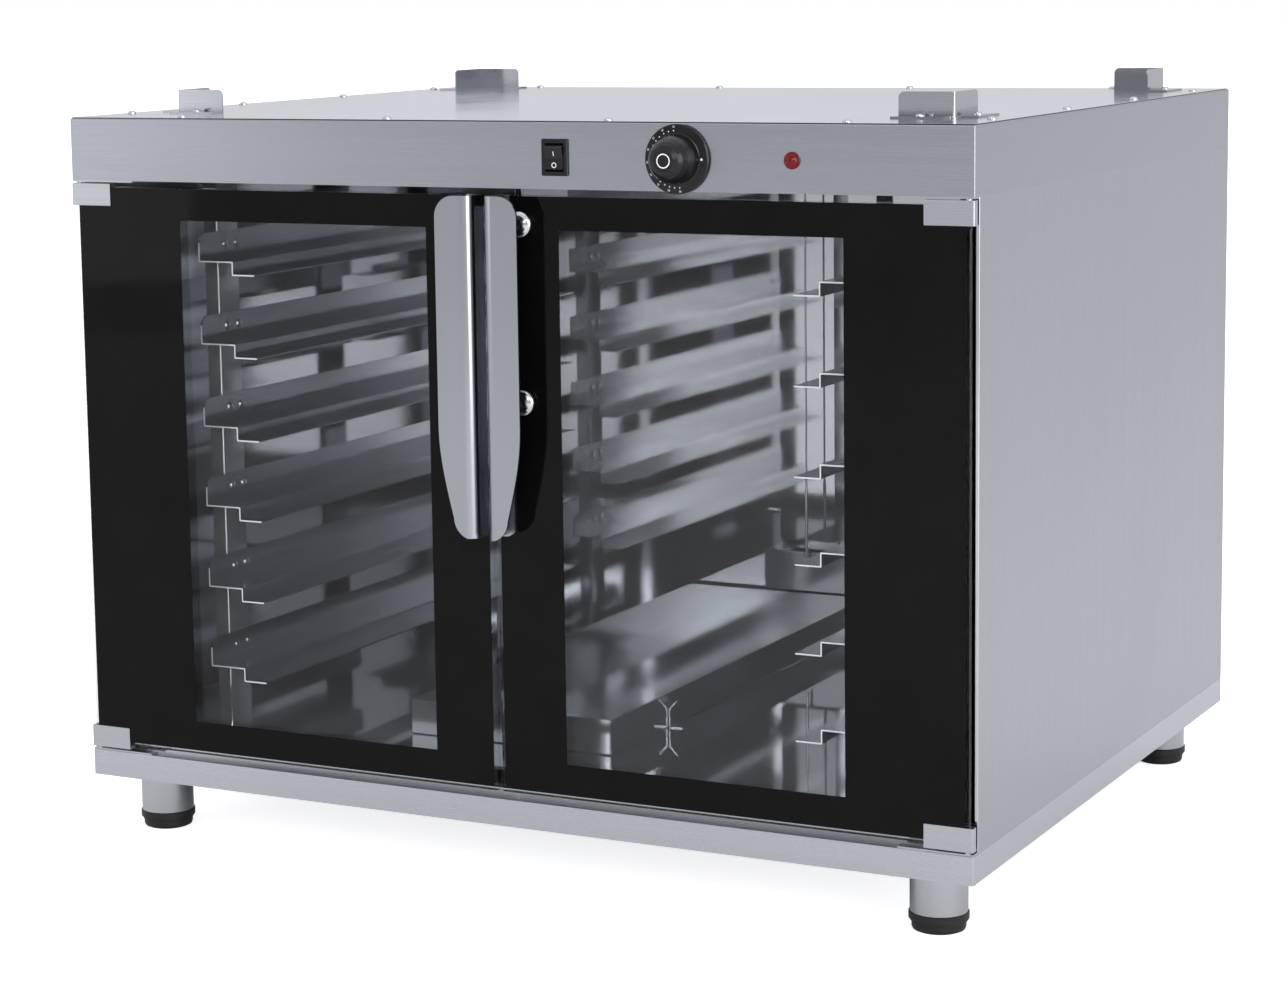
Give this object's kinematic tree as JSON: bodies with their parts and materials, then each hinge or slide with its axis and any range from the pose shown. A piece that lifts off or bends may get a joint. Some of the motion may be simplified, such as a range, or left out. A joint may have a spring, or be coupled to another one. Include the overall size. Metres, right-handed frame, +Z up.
{
  "type": "proofing cabinet",
  "caption": "Bakery proofing cabinet: glass double doors with bar handles, tray runners inside, a water pan, and a control header that carries an oven on top.",
  "frame": {"origin": "centre of the bounding box in plan, at floor level under the feet", "axes": "+X to the right seen from the doors, -Y out through the doors, +Z up"},
  "size_m": [0.86, 0.746, 0.681],
  "materials": {
    "steel_brushed": "brushed, grain runs along each panel",
    "steel_bright": "bright rolled, near mirror",
    "steel_handle": "fine brushed",
    "chrome_bolt": "polished",
    "screw_steel": "polished domes",
    "door_glass": "clear with a black enamel border",
    "black_plastic": "semi-gloss moulded",
    "foot_plastic": "matte moulded",
    "lamp_red": "clear red lens",
    "element_steel": "heat-tinted tube",
    "copper_line": "drawn tube",
    "magnet_block": "matte moulded"
  },
  "bodies": {
    "cabinet": {"base_frame": "steel_brushed", "chamber_floor": "steel_bright", "side_panel_left": "steel_brushed", "side_panel_right": "steel_brushed", "rear_panel": "steel_bright", "chamber_ceiling": "steel_bright", "header_shell": "steel_brushed", "top_panel": "steel_bright", "top_screws": "screw_steel", "bracket_front_left": "steel_bright", "bracket_front_right": "steel_bright", "bracket_rear_left": "steel_bright", "bracket_rear_right": "steel_bright", "upright_front_left": "steel_bright", "upright_front_right": "steel_bright", "upright_rear_left": "steel_bright", "upright_rear_right": "steel_bright", "runner_left_1": "steel_bright", "runner_left_2": "steel_bright", "runner_left_3": "steel_bright", "runner_left_4": "steel_bright", "runner_left_5": "steel_bright", "runner_left_6": "steel_bright", "runner_right_1": "steel_bright", "runner_right_2": "steel_bright", "runner_right_3": "steel_bright", "runner_right_4": "steel_bright", "runner_right_5": "steel_bright", "runner_right_6": "steel_bright", "runner_screws": "screw_steel", "pan_guides": "steel_bright", "rear_duct": "steel_bright", "heater_box": "steel_bright", "heating_element": "element_steel", "thermostat_capillary": "copper_line", "door_pivots": "steel_bright", "magnet_catches": "magnet_block", "leg_tube_front_left": "steel_brushed", "leg_tube_front_right": "steel_brushed", "leg_tube_rear_left": "steel_brushed", "leg_tube_rear_right": "steel_brushed", "switch_housing": "black_plastic", "thermostat_body": "black_plastic", "indicator_lamp": "lamp_red", "cable_gland": "black_plastic"},
    "door_left": {"door_glass_left": "door_glass", "door_clips_left": "steel_brushed", "door_handle_left": "steel_handle", "handle_bolts_left": "chrome_bolt"},
    "door_right": {"door_glass_right": "door_glass", "door_clips_right": "steel_brushed", "door_handle_right": "steel_handle", "handle_bolts_right": "chrome_bolt"},
    "water_pan": {"water_pan": "steel_bright"},
    "thermostat_knob": {"knob": "black_plastic"},
    "power_rocker": {"rocker": "black_plastic"},
    "foot_front_left": {"foot_front_left": "foot_plastic"},
    "foot_front_right": {"foot_front_right": "foot_plastic"},
    "foot_rear_left": {"foot_rear_left": "foot_plastic"},
    "foot_rear_right": {"foot_rear_right": "foot_plastic"}
  },
  "joints": [
    {"name": "door_left_hinge", "type": "hinge", "parent": "cabinet", "child": "door_left", "pos_m": [-0.424, -0.342, 0.34], "axis": [0, 0, -1], "range_deg": [0, 110]},
    {"name": "door_right_hinge", "type": "hinge", "parent": "cabinet", "child": "door_right", "pos_m": [0.424, -0.342, 0.34], "axis": [0, 0, 1], "range_deg": [0, 110]},
    {"name": "water_pan_slide", "type": "slide", "parent": "cabinet", "child": "water_pan", "axis": [0, -1, 0], "range_m": [0, 0.08]},
    {"name": "thermostat_turn", "type": "hinge", "parent": "cabinet", "child": "thermostat_knob", "pos_m": [0.176, -0.345, 0.63], "axis": [0, 1, 0], "range_deg": [0, 270]},
    {"name": "power_rocker_tilt", "type": "hinge", "parent": "cabinet", "child": "power_rocker", "pos_m": [0.0635, -0.342, 0.63], "axis": [-1, 0, 0], "range_deg": [0, 16]},
    {"name": "foot_front_left_screw", "type": "slide", "parent": "cabinet", "child": "foot_front_left", "axis": [0, 0, -1], "range_m": [0, 0.015]},
    {"name": "foot_front_right_screw", "type": "slide", "parent": "cabinet", "child": "foot_front_right", "axis": [0, 0, -1], "range_m": [0, 0.015]},
    {"name": "foot_rear_left_screw", "type": "slide", "parent": "cabinet", "child": "foot_rear_left", "axis": [0, 0, -1], "range_m": [0, 0.015]},
    {"name": "foot_rear_right_screw", "type": "slide", "parent": "cabinet", "child": "foot_rear_right", "axis": [0, 0, -1], "range_m": [0, 0.015]}
  ]
}
